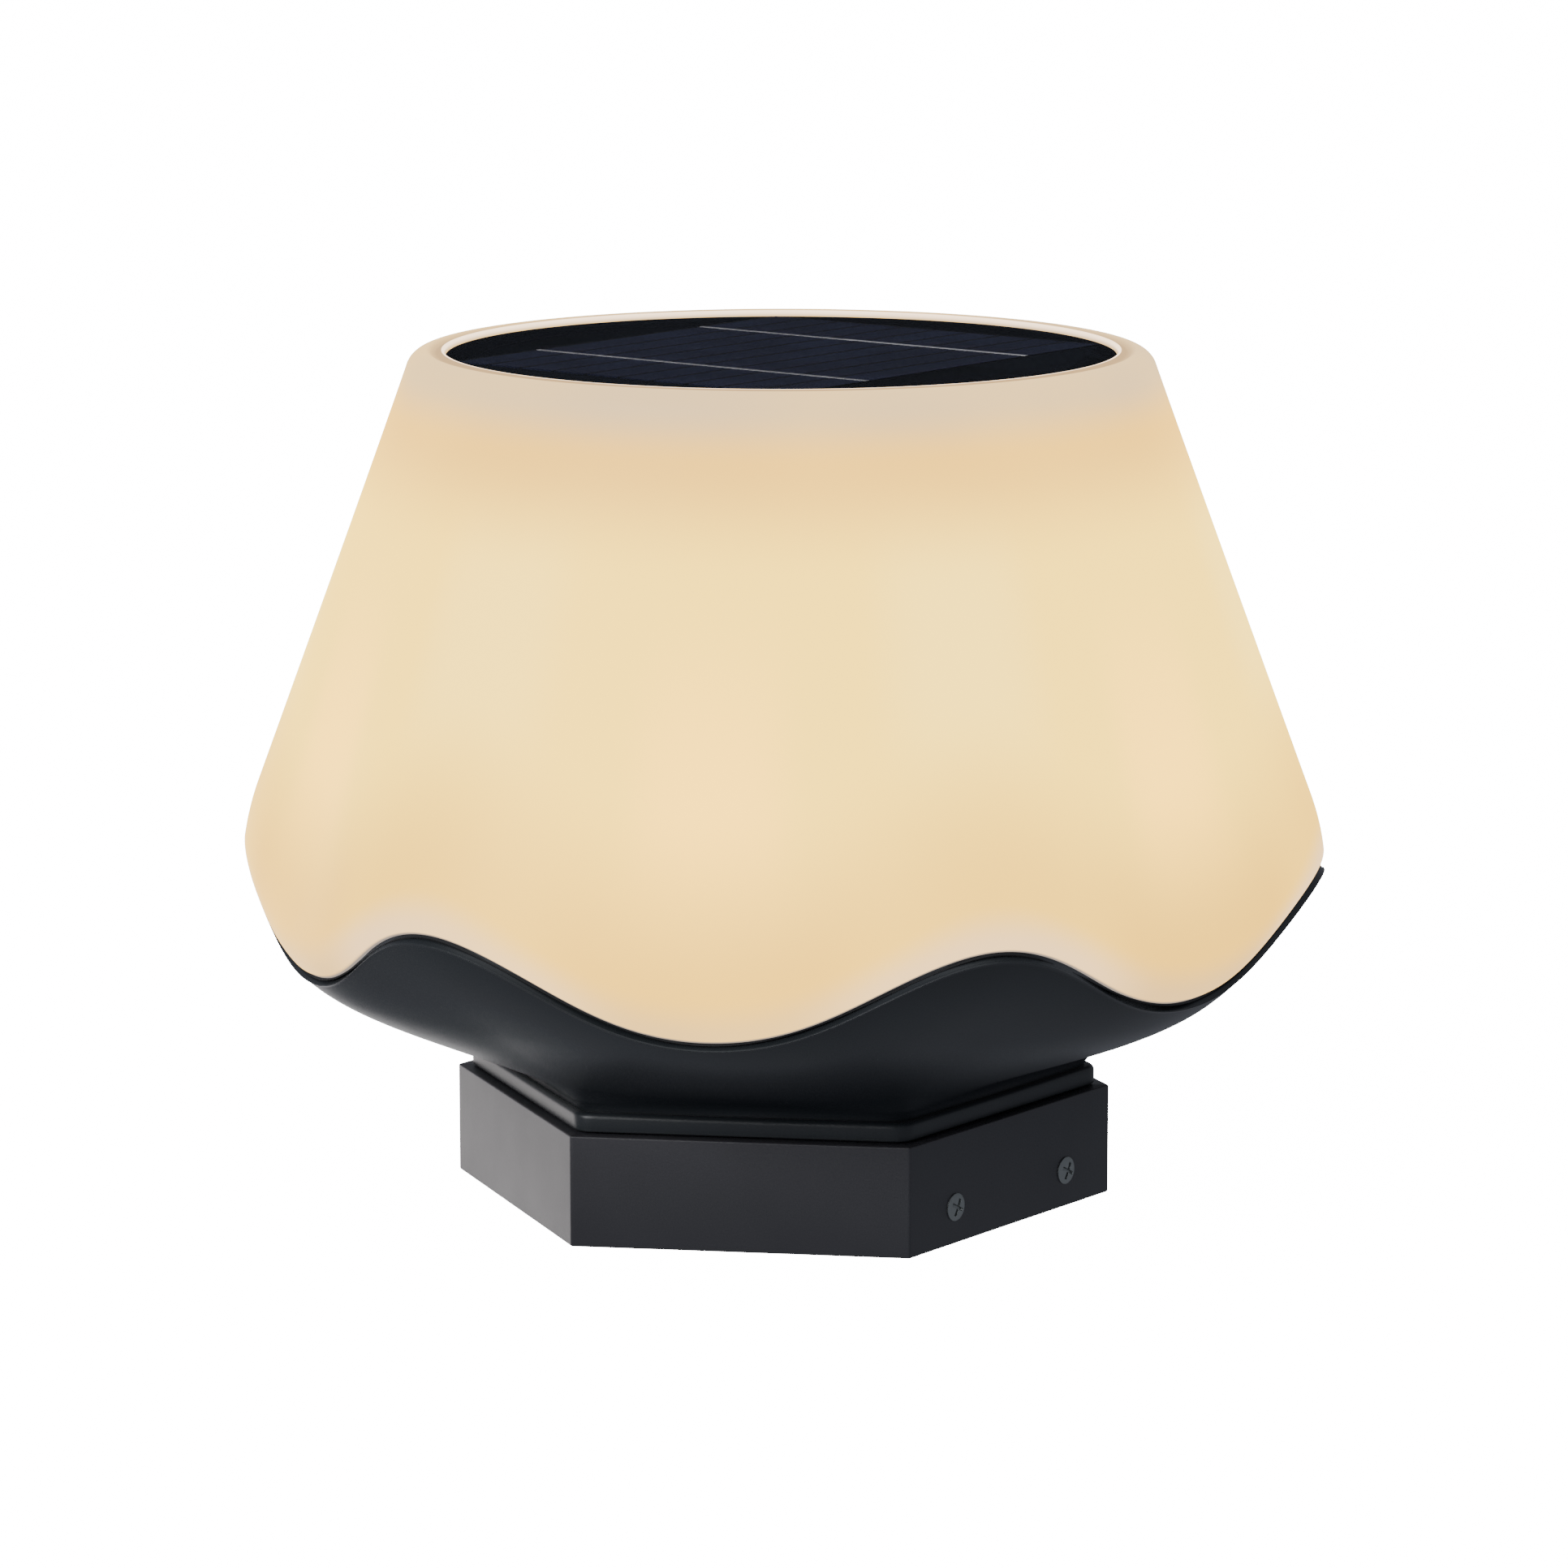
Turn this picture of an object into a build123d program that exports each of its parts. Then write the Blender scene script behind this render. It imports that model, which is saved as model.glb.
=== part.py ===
from build123d import *
import os
from math import cos, radians, sin

# Outdoor solar post light: a hexagonal skirt screwed over a bracket on the post, a black cup that
# grows from a hexagon foot into six sepals, and an opal shade with six petal ends and a round
# solar panel in its top. Millimetres, +Z up, origin at the middle of the skirt's underside.
# The two faces that carry the side screws look along +X and -X, so petals lie at 0, 60, 120 degrees.

# Hexagon skirt and foot
PETALS = 6
SKIRT_CORNER_R = 90.0
SKIRT_H = 30.0
SKIRT_WALL = 3.0
DECK_T = 3.0
DECK_OPENING_R = 60.0
FOOT_GASKET_T = 1.0
GASKET_SET_BACK = 1.0
FOOT_LEDGE = 4.3
FOOT_FILLET = 6.0
FOOT_BAND_H = 5.5
FLOOR_T = 3.0

# Guide curves of the bowl: under a petal's middle and along a sepal's spine
BOWL_TOP_Z = 96.0
PETAL_BOWL_R = 147.9
SPINE_BOWL_R = 149.4
PETAL_SWEEP = 2.42
SPINE_SWEEP = 1.43
HEXAGON_FADE = 3.0
NECK_SOFTNESS = 24.0
NECK_LEDGE = 0.4
CUP_WALL = 3.5
CUP_WALL_RISE = 2.0

# Shade: a cone from a circle to a soft hexagon, rolled in to meet the bowl
SHADE_TOP_Z = 230.0
SHOULDER_DROP = 5.0
SHOULDER_R = 100.8
SHOULDER_STEP = 0.1
SHOULDER_FILLET = 6.0
PETAL_TAPER = 0.28
SPINE_TAPER = 0.375
PETAL_ROLL = 9.0
SPINE_ROLL = 4.0
SHADE_WALL = 3.0
TOP_PLATE_T = 3.4

# Wavy rim where the shade stands on the cup, set back from its outside
EDGE_PETAL_Z = 68.4
EDGE_VALLEY_Z = 92.3
EDGE_QUARTER_Z = 77.75
RIM_SET_BACK = 1.8
RIM_TILT = 0.7
SEAL_T = 0.5
SEAL_CLEARANCE = 0.25

# Solar panel
PANEL_R = 90.0
PANEL_CLEARANCE = 0.4
PANEL_LEDGE_W = 10.0
PANEL_GASKET_W = 8.0
PANEL_GASKET_T = 0.8
BACKBOARD_T = 1.4
COVER_T = 1.3
CELL_STRIPS = 10
CELL_PITCH = 11.2
CELL_GAP = 0.6
CELL_LENGTH = 137.0
CELL_T = 0.25
RIBBON_W = 1.4
RIBBON_T = 0.12
RIBBON_SPACING = 70.0
CELL_POCKET_MARGIN = 0.3
RIM_GROOVE_W = 3.2
RIM_GROOVE_DEPTH = 0.6
RIM_LIP_W = 1.0
JUNCTION_BOX = (40.0, 22.0, 9.0)
JUNCTION_BOX_AT = (20.0, -34.0)

# Tray that carries the electrics
LUG_RISE = 3.6
LUG_W = 14.0
LUG_H = 8.0
LUG_SCREW_R = 108.0
LUG_REACH = 8.0
TRAY_T = 3.0
TRAY_CLEARANCE = 2.0
POST_CIRCLE_R = 52.0
POST_R = 5.0
POSTS = 3
PILOT_DEPTH = 12.0

# Light source
LED_BOARD_R = 48.0
LED_BOARD_T = 1.6
LED_SIZE = 3.0
LED_T = 0.8
LED_INNER_R = 18.0
LED_OUTER_R = 36.0
LED_BOARD_SCREW_R = 43.0
LED_BOARD_SCREWS = 3

# Battery
CELL_D = 18.4
CELL_L = 65.2
CELL_SPACING = 19.2
CELLS = 3
CELL_CLEARANCE = 0.3
CONTACT_T = 1.5
CONTACT_W = 9.0
HOLDER_WALL = 2.0
HOLDER_DEPTH = 15.0
STRAP_W = 12.0
STRAP_T = 1.0

# Control board
BOARD_SIZE = (50.0, 24.0, 1.6)
BOARD_AT = (13.0, -48.0)
BOARD_HOLE_INSET = 3.0
STANDOFF_H = 4.0
STANDOFF_R = 2.6
COIL = (5.0, 6.0)
COIL_AT = (5.0, -50.0)
CAPACITOR = (3.2, 8.0)
CAPACITOR_AT = (27.0, -52.0)
CHIP = (6.0, 5.0, 1.6)
CHIP_AT = (17.0, -42.0)
CONNECTOR = (8.0, 6.0, 6.0)

# Push switch in the cup floor
SWITCH_Y = 46.0
SWITCH_BARREL_R = 6.0
SWITCH_BARREL_H = 9.0
SWITCH_FLANGE_R = 8.0
SWITCH_FLANGE_T = 1.6
SWITCH_WASHER_T = 0.8
SWITCH_NUT_AF = 16.0
SWITCH_NUT_T = 3.0
SWITCH_TERMINAL = (0.8, 2.8, 5.0)
SWITCH_ROOF_T = 1.5
BUTTON_R = 4.2
BUTTON_COLLAR_R = 5.0
BUTTON_COLLAR_T = 2.0
BUTTON_EDGE_R = 0.7
BUTTON_PROUD = 2.4
BUTTON_TRAVEL = 2.0
BUTTON_CLEARANCE = 0.2

# Bracket on the post
BRACKET_T = 2.0
BRACKET_W = 70.0
BRACKET_EAR_H = 20.0
BRACKET_BEND_R = 5.0
BRACKET_CLEARANCE = 0.24
ANCHOR_HOLE_D = 6.5
ANCHOR_SPACING_X = 100.0
ANCHOR_SPACING_Y = 44.0

# Fasteners: shank radius, head radius, head height
SIDE_SCREW = (2.0, 3.7, 0.9)
SIDE_SCREW_SPACING = 50.0
SIDE_SCREW_Z = 10.0
SIDE_SCREW_L = 9.0
SKIRT_SCREW = (2.0, 3.5, 2.4)
SKIRT_SCREW_CIRCLE_R = 66.0
SKIRT_SCREW_L = 10.0
FOOT_BOSS_R = 4.5
FOOT_BOSS_H = 4.5
LUG_SCREW = (1.75, 3.2, 2.0)
LUG_SCREW_L = 9.0
TRAY_SCREW = (1.75, 3.2, 2.0)
TRAY_SCREW_L = 13.0
SMALL_SCREW = (1.3, 2.5, 1.5)
LED_SCREW_L = 4.0
HOLDER_SCREW_L = 4.6
BOARD_SCREW_L = 5.0
HOLE_CLEARANCE = 0.3
THREAD_CLEARANCE = 0.05
BLIND_T = 1.0
RECESS_SPAN = 0.6
RECESS_W = 0.9
RECESS_DEPTH = 0.8

# Leads
LEAD_R = 1.3
LEAD_HOLE_R = 2.0
GROMMET_R = 4.5
GROMMET_FLANGE = 1.5
GROMMET_FLANGE_T = 1.0
PANEL_LEAD_AT = (20.0, -75.0)
LEAD_BEND = 6.0

# Points on each closed section, steps between sections, and how far the surfaces run past the rim
RING_POINTS = 4 * PETALS
SECTION_STEPS = 8
ROLL_STEPS = 12
ROLL_REACH = 10.0
RIM_REACH = 12.0
WAVE_REACH_IN = 48.0
WAVE_REACH_OUT = 25.0
WAVE_HEIGHT = 90.0

# Sizes that follow from the ones above
HALF_TURN = 180.0 / PETALS
skirt_apothem = SKIRT_CORNER_R * cos(radians(HALF_TURN))
skirt_inner_apothem = skirt_apothem - SKIRT_WALL
foot_apothem = skirt_apothem - FOOT_LEDGE
foot_z = SKIRT_H + FOOT_GASKET_T
floor_top = foot_z + FLOOR_T
neck_z = foot_z + FOOT_BAND_H
neck_apothem = foot_apothem - NECK_LEDGE
shoulder_z = SHADE_TOP_Z - SHOULDER_DROP
roll_top = BOWL_TOP_Z + ROLL_REACH
rim_low = EDGE_PETAL_Z - RIM_REACH
shade_lift = SEAL_T + 2 * SEAL_CLEARANCE
pocket_r = PANEL_R + PANEL_CLEARANCE
panel_top = SHADE_TOP_Z - PANEL_CLEARANCE
cover_z = panel_top - COVER_T
backboard_z = cover_z - BACKBOARD_T
ledge_z = backboard_z - PANEL_GASKET_T
ledge_r = PANEL_R - PANEL_LEDGE_W
ceiling_z = ledge_z - TOP_PLATE_T
tray_top = EDGE_PETAL_Z + LUG_RISE
tray_z = tray_top - TRAY_T
board_top = tray_z - STANDOFF_H
board_z = board_top - BOARD_SIZE[2]


# Section shapes
def lobe(angle):
    """1 at the middle of a petal, 0 at a corner, as a cosine of the angle."""
    return (1 + cos(radians(PETALS * angle))) / 2


def soft_hexagon(angle):
    """Radius of a hexagon with soft corners: a power mean over its six face normals."""
    normals = [radians(angle - 2 * HALF_TURN * side) for side in range(PETALS)]
    total = sum(max(cos(normal), 0) ** NECK_SOFTNESS for normal in normals)
    return neck_apothem * total ** (-1 / NECK_SOFTNESS)


def bowl_radius(angle, z):
    """Outer radius of the cup: two power curves blended round the axis, hexagonal at the neck."""
    depth = min(max((BOWL_TOP_Z - z) / (BOWL_TOP_Z - neck_z), 0), 1)
    neck_corner = soft_hexagon(HALF_TURN)
    petal = PETAL_BOWL_R - (PETAL_BOWL_R - neck_apothem) * depth ** PETAL_SWEEP
    spine = SPINE_BOWL_R - (SPINE_BOWL_R - neck_corner) * depth ** SPINE_SWEEP
    hexagon = (soft_hexagon(angle) - neck_corner) / (neck_apothem - neck_corner)
    share = lobe(angle) + (hexagon - lobe(angle)) * depth ** HEXAGON_FADE
    return spine + (petal - spine) * share


def shade_radius(angle, z):
    """Outer radius of the shade: the smaller of cone and inset bowl, with a rounded change-over."""
    taper = SPINE_TAPER + (PETAL_TAPER - SPINE_TAPER) * lobe(angle)
    cone = SHOULDER_R + (shoulder_z - z) * taper
    bowl = bowl_radius(angle, z) - RIM_SET_BACK
    roll = SPINE_ROLL + (PETAL_ROLL - SPINE_ROLL) * lobe(angle)
    overlap = max(roll - abs(cone - bowl), 0) / roll
    return min(cone, bowl) - overlap * overlap * roll / 4


def cup_inner_radius(angle, z):
    """Inner radius of the cup: the bowl lifted by the wall's rise and drawn in by the wall."""
    return bowl_radius(angle, max(z - CUP_WALL_RISE, neck_z)) - CUP_WALL


def edge_z(angle):
    """Height of the wavy rim: two cosines through its petal, quarter and valley heights."""
    middle = (EDGE_PETAL_Z + EDGE_VALLEY_Z) / 2
    first = (EDGE_PETAL_Z - EDGE_VALLEY_Z) / 2
    second = (middle - EDGE_QUARTER_Z) / 2
    return middle - second + first * cos(radians(PETALS * angle)) + second * cos(radians(2 * PETALS * angle))


def closed_curve(radius, height):
    """Closed spline round the axis from a radius and a height that depend on the angle."""
    points = []
    for step in range(RING_POINTS):
        angle = 360 * step / RING_POINTS
        r = radius(angle)
        points.append(Vector(r * cos(radians(angle)), r * sin(radians(angle)), height(angle)))
    return Edge.make_spline(points, periodic=True)


def ring(radius, z, inset=0.0):
    """Level closed section of a surface given by its radius function."""
    return Wire([closed_curve(lambda angle: radius(angle, z) - inset, lambda angle: z)])


def swept(radius, low, high, steps, inset=0.0):
    """Solid through evenly spaced level sections of one surface."""
    heights = [low + (high - low) * step / steps for step in range(steps + 1)]
    return Solid.make_loft([ring(radius, z, inset) for z in heights])


def beyond_rim(drop, up):
    """Everything above, or below, the wavy rim surface lowered by drop."""
    def edge_radius(angle):
        return shade_radius(angle, edge_z(angle))

    inner = closed_curve(
        lambda angle: edge_radius(angle) - WAVE_REACH_IN,
        lambda angle: edge_z(angle) - drop + WAVE_REACH_IN * RIM_TILT,
    )
    outer = closed_curve(
        lambda angle: edge_radius(angle) + WAVE_REACH_OUT,
        lambda angle: edge_z(angle) - drop - WAVE_REACH_OUT * RIM_TILT,
    )
    surface = Face.make_surface_from_curves(inner, outer)
    return Solid.extrude(surface, Vector(0, 0, WAVE_HEIGHT if up else -WAVE_HEIGHT))


# Simple bodies used by several pieces
def disc(radius, z, height, at=(0.0, 0.0)):
    """Upright cylinder standing on height z."""
    return Pos(at[0], at[1], z) * Cylinder(radius, height, align=(Align.CENTER, Align.CENTER, Align.MIN))


def block(size, z, at=(0.0, 0.0)):
    """Upright box standing on height z."""
    return Pos(at[0], at[1], z) * Box(*size, align=(Align.CENTER, Align.CENTER, Align.MIN))


def hexagon(apothem, z, height, corner_fillet=0.0):
    """Hexagonal prism with faces towards the petals, its upright edges rounded if asked."""
    outline = RegularPolygon(apothem, PETALS, major_radius=False, rotation=HALF_TURN)
    if corner_fillet:
        outline = fillet(outline.vertices(), corner_fillet)
    return Pos(0, 0, z) * extrude(outline, height)


def circle_of(radius, count, first=0.0):
    """Points spread evenly on a circle."""
    angles = [radians(first + 360 * step / count) for step in range(count)]
    return [(radius * cos(angle), radius * sin(angle)) for angle in angles]


def screw(kind, length):
    """Cross-head screw: the shank hangs down from the head's seat at the origin."""
    shank_r, head_r, head_h = kind
    body = disc(head_r, 0, head_h) + disc(shank_r - THREAD_CLEARANCE, -length, length)
    recess_l = 2 * head_r * RECESS_SPAN
    for size in ((recess_l, RECESS_W, RECESS_DEPTH), (RECESS_W, recess_l, RECESS_DEPTH)):
        body -= block(size, head_h - RECESS_DEPTH)
    return body


def screws_at(kind, length, points, z, head_up):
    """Upright screws with their seats at height z, heads up or down."""
    turn = Rot(0, 0, 0) if head_up else Rot(180, 0, 0)
    return [Pos(x, y, z) * turn * screw(kind, length) for x, y in points]


def drilled(body, radius, points, z, depth):
    """Body with upright holes from height z upwards."""
    for point in points:
        body -= disc(radius, z, depth, point)
    return body


def lead(points, bend):
    """Round lead along straight runs joined by arcs."""
    path = FilletPolyline(*points, radius=bend)
    start = Plane(origin=path @ 0, z_dir=path % 0)
    return sweep(start * Circle(LEAD_R), path=path)


# Places shared by pieces that meet
lug_points = circle_of(LUG_SCREW_R, PETALS)
post_points = circle_of(POST_CIRCLE_R, POSTS)
foot_screw_points = circle_of(SKIRT_SCREW_CIRCLE_R, PETALS, HALF_TURN)
led_screw_points = circle_of(LED_BOARD_SCREW_R, LED_BOARD_SCREWS, HALF_TURN)
holder_screw_points = [(0.0, CELL_SPACING / 2), (0.0, -CELL_SPACING / 2)]
board_holes = [
    (BOARD_AT[0] + side_x * (BOARD_SIZE[0] / 2 - BOARD_HOLE_INSET),
     BOARD_AT[1] + side_y * (BOARD_SIZE[1] / 2 - BOARD_HOLE_INSET))
    for side_x in (-1, 1)
    for side_y in (-1, 1)
]
led_lead_points = [(BOARD_AT[0] - 2 * LEAD_R, BOARD_AT[1] + BOARD_SIZE[1] / 4),
                   (BOARD_AT[0] + 2 * LEAD_R, BOARD_AT[1] + BOARD_SIZE[1] / 4)]


# Base
def make_base_skirt():
    """Hexagonal skirt, open below, with a deck that the cup's foot is screwed to."""
    body = hexagon(skirt_apothem, 0, SKIRT_H)
    body -= hexagon(skirt_inner_apothem, 0, SKIRT_H - DECK_T)
    body -= disc(DECK_OPENING_R, SKIRT_H - DECK_T, DECK_T)
    body = drilled(body, SKIRT_SCREW[0] + HOLE_CLEARANCE, foot_screw_points, SKIRT_H - DECK_T, DECK_T)
    for y in (-SIDE_SCREW_SPACING / 2, SIDE_SCREW_SPACING / 2):
        hole = Cylinder(SIDE_SCREW[0] + HOLE_CLEARANCE, 2 * SKIRT_CORNER_R)
        body -= Pos(0, y, SIDE_SCREW_Z) * Rot(0, 90, 0) * hole
    return body


def make_mounting_bracket():
    """Steel strap with two upturned ears, bent in one piece."""
    reach = skirt_inner_apothem - BRACKET_CLEARANCE
    outside = FilletPolyline(
        (-reach, BRACKET_EAR_H), (-reach, 0), (reach, 0), (reach, BRACKET_EAR_H), radius=BRACKET_BEND_R
    )
    inner = reach - BRACKET_T
    inside = FilletPolyline(
        (-inner, BRACKET_EAR_H), (-inner, BRACKET_T), (inner, BRACKET_T), (inner, BRACKET_EAR_H),
        radius=BRACKET_BEND_R - BRACKET_T,
    )
    rims = [Line(outside @ 0, inside @ 0), Line(outside @ 1, inside @ 1)]
    section = make_face(Plane.XZ * Curve([outside, inside, *rims]))
    body = extrude(section, BRACKET_W / 2, both=True)
    anchors = [(x * ANCHOR_SPACING_X / 2, y * ANCHOR_SPACING_Y / 2) for x in (-1, 1) for y in (-1, 1)]
    body = drilled(body, ANCHOR_HOLE_D / 2, anchors, 0, BRACKET_T)
    for y in (-SIDE_SCREW_SPACING / 2, SIDE_SCREW_SPACING / 2):
        body -= Pos(0, y, SIDE_SCREW_Z) * Rot(0, 90, 0) * Cylinder(SIDE_SCREW[0], 2 * SKIRT_CORNER_R)
    return body


def make_side_screws():
    """Two screws in each of the faces that look along +X and -X."""
    screws = []
    for side in (0, 180):
        for y in (-SIDE_SCREW_SPACING / 2, SIDE_SCREW_SPACING / 2):
            seat = Rot(0, 0, side) * Pos(skirt_apothem, y, SIDE_SCREW_Z) * Rot(0, 90, 0)
            screws.append(seat * screw(SIDE_SCREW, SIDE_SCREW_L))
    return screws


def make_foot_gasket():
    """Flat rubber ring between deck and foot."""
    body = hexagon(foot_apothem - GASKET_SET_BACK, SKIRT_H, FOOT_GASKET_T, FOOT_FILLET)
    body -= disc(DECK_OPENING_R, SKIRT_H, FOOT_GASKET_T)
    return drilled(body, SKIRT_SCREW[0] + HOLE_CLEARANCE, foot_screw_points, SKIRT_H, FOOT_GASKET_T)


# Cup and shade
def make_petal_cup():
    """Black cup: hexagon foot, swept bowl and wavy rim, with bosses and holes in its floor."""
    foot = hexagon(foot_apothem, foot_z, neck_z - foot_z, FOOT_FILLET)
    hollow = swept(cup_inner_radius, floor_top, roll_top, SECTION_STEPS)
    bowl = swept(bowl_radius, neck_z, roll_top, SECTION_STEPS) - beyond_rim(0, True)
    body = (bowl - hollow) + (foot - hollow)
    for point in foot_screw_points:
        body += disc(FOOT_BOSS_R, floor_top, FOOT_BOSS_H, point)
    body = drilled(body, SKIRT_SCREW[0], foot_screw_points, foot_z, FLOOR_T + FOOT_BOSS_H - BLIND_T)
    body = drilled(body, TRAY_SCREW[0] + HOLE_CLEARANCE, post_points, foot_z, FLOOR_T)
    body -= disc(SWITCH_BARREL_R + HOLE_CLEARANCE, foot_z, FLOOR_T, (0, SWITCH_Y))
    return body


def make_rim_seal():
    """Wavy seal between the cup's rim and the shade's edge, just clear of both curved faces."""
    outer = swept(bowl_radius, rim_low, roll_top, SECTION_STEPS, RIM_SET_BACK)
    inner = swept(bowl_radius, rim_low, roll_top, SECTION_STEPS, RIM_SET_BACK + SHADE_WALL)
    band = (outer - inner) & beyond_rim(-SEAL_CLEARANCE, True)
    return band - beyond_rim(-SEAL_CLEARANCE - SEAL_T, True)


def make_shade():
    """Opal shade: one wall from the panel's seat down to the wavy edge, with six screw lugs."""
    cone = Solid.make_loft([ring(shade_radius, shoulder_z), ring(shade_radius, roll_top)], True)
    cone_inner = [ring(shade_radius, z, SHADE_WALL) for z in (ceiling_z, roll_top)]
    roll = swept(shade_radius, roll_top, rim_low, ROLL_STEPS)
    roll_inner = swept(shade_radius, roll_top, rim_low, ROLL_STEPS, SHADE_WALL)
    wall = (roll - roll_inner) - beyond_rim(-shade_lift, False)
    wall = (cone - Solid.make_loft(cone_inner, True)) + wall
    taper = (PETAL_TAPER + SPINE_TAPER) / 2
    cap_r = SHOULDER_R - SHOULDER_STEP
    cap = make_face(Polyline(
        (0, shoulder_z), (cap_r, shoulder_z), (cap_r - SHOULDER_DROP * taper, SHADE_TOP_Z),
        (0, SHADE_TOP_Z), close=True,
    ))
    cap = fillet(cap.vertices().sort_by(Axis.Y)[-2:].sort_by(Axis.X)[-1:], SHOULDER_FILLET)
    wall = wall + revolve(Plane.XZ * cap, Axis.Z)
    wall -= disc(pocket_r, ledge_z, SHADE_TOP_Z - ledge_z)
    wall -= disc(ledge_r, ceiling_z, SHADE_TOP_Z - ceiling_z)
    groove_r = pocket_r + RIM_LIP_W
    groove = disc(groove_r + RIM_GROOVE_W, SHADE_TOP_Z - RIM_GROOVE_DEPTH, RIM_GROOVE_DEPTH)
    wall -= groove - disc(groove_r, SHADE_TOP_Z - RIM_GROOVE_DEPTH, RIM_GROOVE_DEPTH)
    reach = PETAL_BOWL_R - LUG_SCREW_R + LUG_REACH
    for side in range(PETALS):
        lug = Pos(LUG_SCREW_R - LUG_REACH + reach / 2, 0, tray_top + LUG_H / 2) * Box(reach, LUG_W, LUG_H)
        wall += (Rot(0, 0, 2 * HALF_TURN * side) * lug) & roll
    return drilled(wall, LUG_SCREW[0], lug_points, tray_top, LUG_H - BLIND_T)


# Solar panel
def strip_centres():
    """Places of the cell strips across the panel."""
    return [CELL_PITCH * (strip - (CELL_STRIPS - 1) / 2) for strip in range(CELL_STRIPS)]


def make_panel_gasket():
    """Foam ring under the panel's edge."""
    return disc(PANEL_R, ledge_z, PANEL_GASKET_T) - disc(PANEL_R - PANEL_GASKET_W, ledge_z, PANEL_GASKET_T)


def make_panel_backboard():
    """Black board that carries the cells."""
    return disc(PANEL_R, backboard_z, BACKBOARD_T)


def make_solar_cells():
    """Cell strips side by side."""
    size = (CELL_PITCH - CELL_GAP, CELL_LENGTH, CELL_T)
    return [block(size, cover_z, (x, 0)) for x in strip_centres()]


def make_busbar_ribbons():
    """Two ribbons soldered across the strips."""
    size = (CELL_PITCH * CELL_STRIPS - CELL_GAP, RIBBON_W, RIBBON_T)
    return [block(size, cover_z + CELL_T, (0, y)) for y in (-RIBBON_SPACING / 2, RIBBON_SPACING / 2)]


def make_panel_cover():
    """Clear cover with a shallow pocket over the cells."""
    margin = CELL_POCKET_MARGIN
    size = (CELL_PITCH * CELL_STRIPS - CELL_GAP + 2 * margin, CELL_LENGTH + 2 * margin,
            CELL_T + RIBBON_T)
    return disc(PANEL_R, cover_z, COVER_T) - block(size, cover_z)


def make_junction_box():
    """Box on the back of the panel where its lead is soldered."""
    box = block(JUNCTION_BOX, backboard_z - JUNCTION_BOX[2], JUNCTION_BOX_AT)
    return fillet(box.edges().filter_by(Axis.Z), JUNCTION_BOX[2] / 4)


def make_panel_lead():
    """Lead from the junction box, down through the tray to the control board."""
    x, y = PANEL_LEAD_AT
    box_face = JUNCTION_BOX_AT[1] - JUNCTION_BOX[1] / 2
    high = backboard_z - JUNCTION_BOX[2] / 2
    low = board_z - 3 * LEAD_R
    plug = BOARD_AT[1] - BOARD_SIZE[1] / 2
    return lead([(x, box_face, high), (x, y, high), (x, y, low), (x, plug, low)], LEAD_BEND)


def make_lead_grommet():
    """Rubber grommet in the tray, round the panel lead."""
    body = disc(GROMMET_R, tray_z, TRAY_T, PANEL_LEAD_AT)
    body += disc(GROMMET_R + GROMMET_FLANGE, tray_top, GROMMET_FLANGE_T, PANEL_LEAD_AT)
    return body - disc(LEAD_R, tray_z, TRAY_T + GROMMET_FLANGE_T, PANEL_LEAD_AT)


# Tray and light source
def make_inner_tray():
    """White reflector tray, lobed like the cup, on three posts."""
    outline = make_face(ring(cup_inner_radius, tray_z, TRAY_CLEARANCE))
    body = extrude(outline, TRAY_T, dir=(0, 0, 1))
    for point in post_points:
        body += disc(POST_R, floor_top, tray_z - floor_top, point)
    body = drilled(body, TRAY_SCREW[0], post_points, floor_top, PILOT_DEPTH)
    body = drilled(body, LUG_SCREW[0] + HOLE_CLEARANCE, lug_points, tray_z, TRAY_T)
    body = drilled(body, SMALL_SCREW[0], led_screw_points, tray_z, TRAY_T)
    body = drilled(body, SMALL_SCREW[0], holder_screw_points, tray_z, TRAY_T)
    body = drilled(body, LEAD_HOLE_R, led_lead_points, tray_z, TRAY_T)
    return drilled(body, GROMMET_R, [PANEL_LEAD_AT], tray_z, TRAY_T)


def make_led_board():
    """Round board on the tray."""
    body = disc(LED_BOARD_R, tray_top, LED_BOARD_T)
    return drilled(body, SMALL_SCREW[0] + HOLE_CLEARANCE, led_screw_points, tray_top, LED_BOARD_T)


def make_led_chips():
    """Two rings of chips facing up."""
    chips = []
    for radius, count in ((LED_INNER_R, PETALS), (LED_OUTER_R, 2 * PETALS)):
        for step in range(count):
            chip = block((LED_SIZE, LED_SIZE, LED_T), tray_top + LED_BOARD_T, (radius, 0))
            chips.append(Rot(0, 0, 360 * step / count) * chip)
    return chips


def make_led_leads():
    """Two short leads from the light board to the control board."""
    return [disc(LEAD_R, board_top, tray_top - board_top, point) for point in led_lead_points]


# Battery
cell_z = tray_z - HOLDER_WALL - CELL_CLEARANCE - CELL_D / 2
cell_rows = [CELL_SPACING * (cell - (CELLS - 1) / 2) for cell in range(CELLS)]
holder_inside = (CELL_L + 2 * CONTACT_T, CELL_SPACING * CELLS)
holder_outside = (holder_inside[0] + 2 * HOLDER_WALL, holder_inside[1] + 2 * HOLDER_WALL)


def make_battery_holder():
    """Open box under the tray with ribs between the cells."""
    bottom = tray_z - HOLDER_DEPTH
    body = block((*holder_outside, HOLDER_DEPTH), bottom)
    body -= block((*holder_inside, HOLDER_DEPTH - HOLDER_WALL), bottom)
    return drilled(body, SMALL_SCREW[0] + HOLE_CLEARANCE, holder_screw_points, tray_z - HOLDER_WALL, HOLDER_WALL)


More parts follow.
